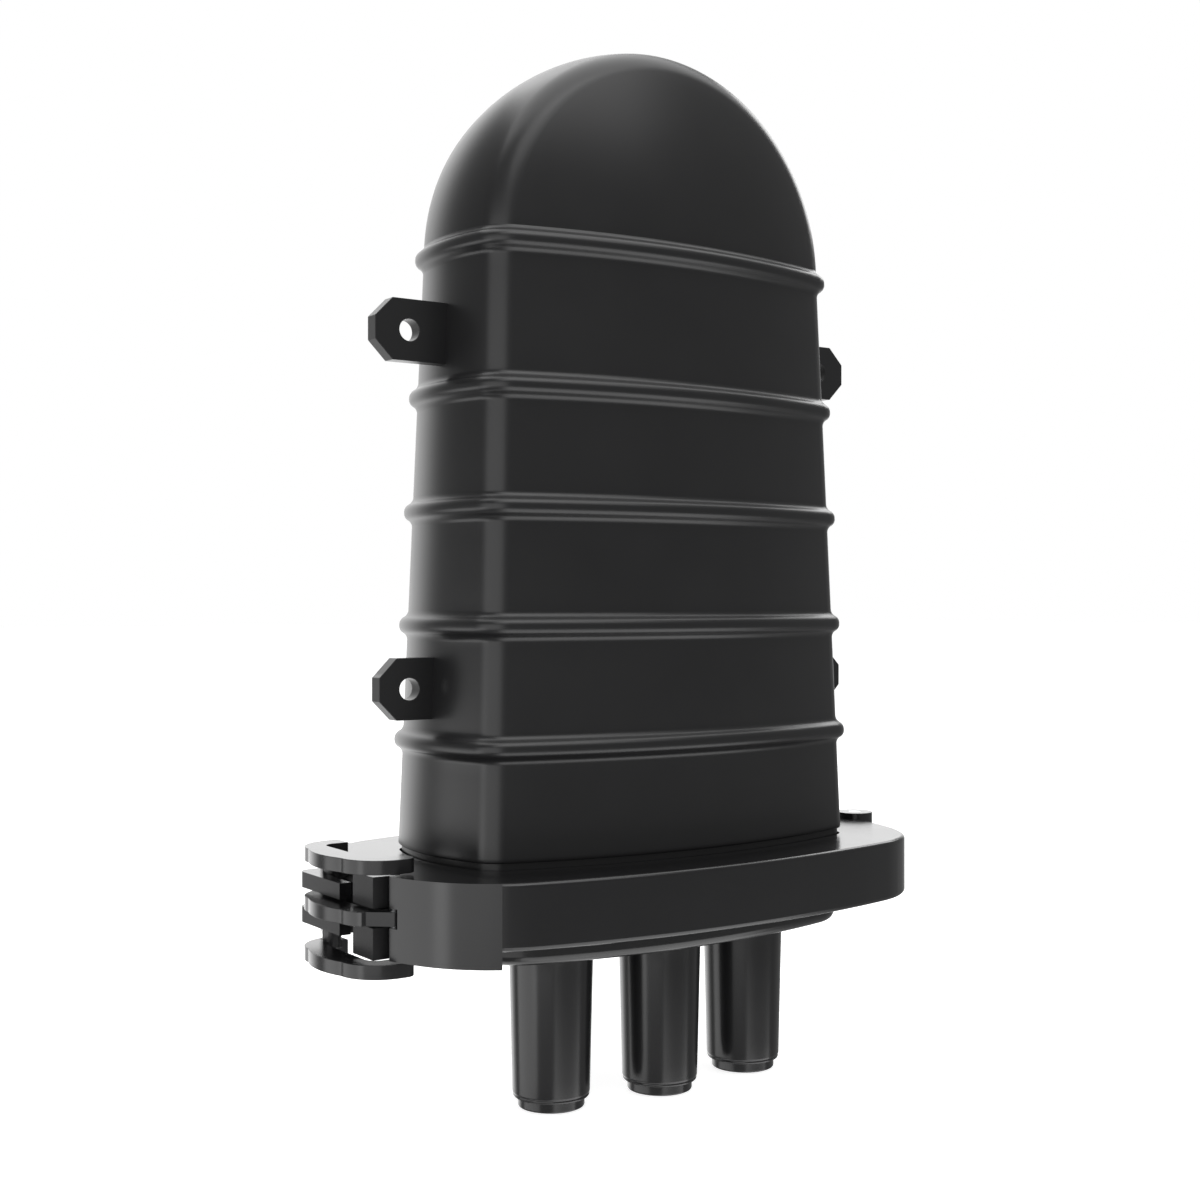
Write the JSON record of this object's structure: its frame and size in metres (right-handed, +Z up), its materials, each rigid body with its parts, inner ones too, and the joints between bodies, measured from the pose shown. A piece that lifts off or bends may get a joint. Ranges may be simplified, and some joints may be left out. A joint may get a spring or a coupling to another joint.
{
  "type": "fibre splice closure",
  "caption": "Upright dome closure for fibre splices with a ribbed oval dome, side tabs for wall bolts, a two-part oval clamp with a swing latch, and closed round cable ports in its base.",
  "frame": {"origin": "centre of the four wall-bolt holes in the dome's side tabs, in the middle of the tabs' thickness", "axes": "+Z up along the dome away from the cable ports, +X along the wide side towards the clamp's hinge, -Y the front with the nearest ports; the wall is on the +Y side"},
  "size_m": [0.2941, 0.1586, 0.4456],
  "materials": {
    "black_plastic": "satin, moulded",
    "seal_rubber": "matt",
    "steel": "bright",
    "carrier_sheet": "satin",
    "block_plastic": "fine grain",
    "tray_plastic": "fine grain",
    "clear_plastic": "clear",
    "strap_fabric": "woven"
  },
  "bodies": {
    "closure": {"dome_cover": "black_plastic", "base_body": "black_plastic", "seal_ring": "seal_rubber", "clamp_front": "black_plastic", "clamp_rear": "black_plastic", "clamp_hinge_pin": "steel", "latch_keeper_pin": "steel", "tray_carrier": "carrier_sheet", "carrier_screws": "steel", "tray_hinge_block": "block_plastic", "hinge_block_screws": "steel", "tray_lid": "clear_plastic", "tray_strap": "strap_fabric", "slack_basket": "block_plastic", "slack_basket_screws": "steel", "cable_bar": "carrier_sheet", "cable_bar_screws": "steel", "yoke_screws": "steel", "splice_tray_1": "tray_plastic", "splice_holder_1": "block_plastic", "splice_tray_2": "tray_plastic", "splice_holder_2": "block_plastic", "splice_tray_3": "tray_plastic", "splice_holder_3": "block_plastic", "splice_tray_4": "tray_plastic", "splice_holder_4": "block_plastic", "strength_yoke_left": "steel", "strength_yoke_middle": "steel", "strength_yoke_right": "steel"},
    "lever": {"latch_lever": "black_plastic"}
  },
  "joints": [
    {"name": "latch_swing", "type": "hinge", "parent": "closure", "child": "lever", "pos_m": [-0.1312, 0.0239, -0.15795], "axis": [0, 0, -1], "range_deg": [0, 100]}
  ]
}
